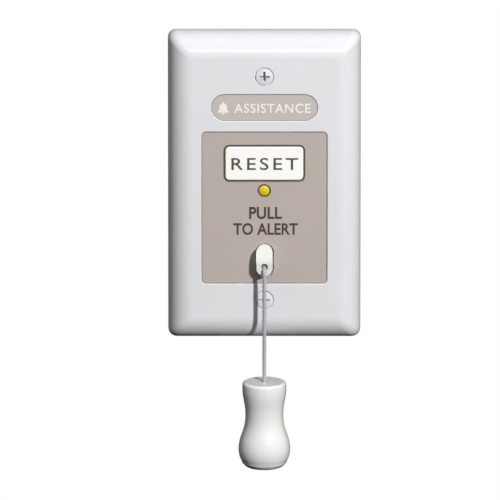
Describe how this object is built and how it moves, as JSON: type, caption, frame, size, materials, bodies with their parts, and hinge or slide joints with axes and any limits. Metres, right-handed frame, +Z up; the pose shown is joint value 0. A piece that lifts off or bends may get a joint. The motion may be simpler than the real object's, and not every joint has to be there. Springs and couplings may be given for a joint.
{
  "type": "pull cord switch",
  "caption": "Single-gang wall station: hanging pendant on a cord tips a panel lever that closes a switch; a wide panel key and a round lamp sit above it.",
  "frame": {"origin": "centre of the wall plate's outline, on the plane of the wall", "axes": "+Y into the wall, so the front faces -Y; +Z up along the plate's long side; +X to the right for somebody facing the station"},
  "size_m": [0.0698, 0.0404, 0.1595],
  "materials": {
    "white_moulding": "gloss",
    "taupe_label": "satin",
    "key_plastic": "gloss",
    "dark_trim": "satin",
    "lamp_lens": "clear gloss",
    "white_pendant": "gloss",
    "cord_textile": "twisted, matt",
    "screw_steel": "white enamel",
    "plated_steel": "zinc plated",
    "spring_steel": "polished wire",
    "grey_nylon": "moulded",
    "board_green": "solder mask",
    "black_plastic": "moulded",
    "switch_button": "moulded",
    "terminal_green": "moulded",
    "tinned_metal": "tinned",
    "capacitor_can": "sleeved can"
  },
  "bodies": {
    "root": {"face_plate": "white_moulding", "plate_screws": "screw_steel", "front_label": "taupe_label", "badge_label": "taupe_label", "key_surround": "dark_trim", "lamp_ring": "dark_trim", "indicator_lamp": "lamp_lens", "lamp_leads": "tinned_metal", "lever_pivot_pin": "plated_steel", "lever_bracket": "grey_nylon", "bracket_screws": "plated_steel", "lever_spring": "spring_steel", "circuit_board": "board_green", "board_screws": "plated_steel", "call_switch_body": "black_plastic", "reset_switch_body": "black_plastic", "switch_legs": "tinned_metal", "terminal_block": "terminal_green", "terminal_cages": "tinned_metal", "terminal_screws": "plated_steel", "controller_chip": "black_plastic", "chip_leads": "tinned_metal", "filter_capacitor": "capacitor_can", "surface_resistors": "black_plastic"},
    "lever": {"pull_lever": "key_plastic"},
    "cord_head": {"upper_knot": "cord_textile"},
    "cord": {"pull_cord": "cord_textile", "lower_knot": "cord_textile"},
    "pendant": {"pendant": "white_pendant"},
    "key": {"reset_key": "key_plastic"},
    "call_plunger": {"call_switch_plunger": "switch_button"},
    "reset_plunger": {"reset_switch_plunger": "switch_button"}
  },
  "joints": [
    {"name": "lever_pull", "type": "hinge", "parent": "root", "child": "lever", "pos_m": [0, -0.003, -0.0225], "axis": [1, 0, 0], "range_deg": [0, 7], "stiffness_Nm_per_rad": 0.4, "springref_deg": -3.44, "deforming": ["lever_spring"]},
    {"name": "cord_hang", "type": "hinge", "parent": "lever", "child": "cord_head", "pos_m": [0, -0.0138, -0.02835], "axis": [1, 0, 0], "range_deg": [-8, 0.5]},
    {"name": "cord_sway", "type": "hinge", "parent": "cord_head", "child": "cord", "pos_m": [0, -0.0138, -0.02835], "axis": [0, 1, 0], "range_deg": [-30, 30]},
    {"name": "pendant_spin", "type": "hinge", "parent": "cord", "child": "pendant", "pos_m": [0, -0.016, -0.09], "axis": [0, 0, 1], "continuous": true},
    {"name": "key_press", "type": "slide", "parent": "root", "child": "key", "axis": [0, 1, 0], "range_m": [0, 0.0005], "stiffness_N_per_m": 3000, "springref_m": -0.0003},
    {"name": "call_plunger_slide", "type": "slide", "parent": "root", "child": "call_plunger", "axis": [0, 1, 0], "range_m": [0, 0.0014]},
    {"name": "reset_plunger_slide", "type": "slide", "parent": "root", "child": "reset_plunger", "axis": [0, 1, 0], "range_m": [0, 0.0006]}
  ],
  "couplings": [
    {"joint": "cord_hang", "follows": "lever_pull", "ratio": -1},
    {"joint": "call_plunger_slide", "follows": "lever_pull", "m_per_rad": 0.0106},
    {"joint": "reset_plunger_slide", "follows": "key_press", "ratio": 1}
  ]
}
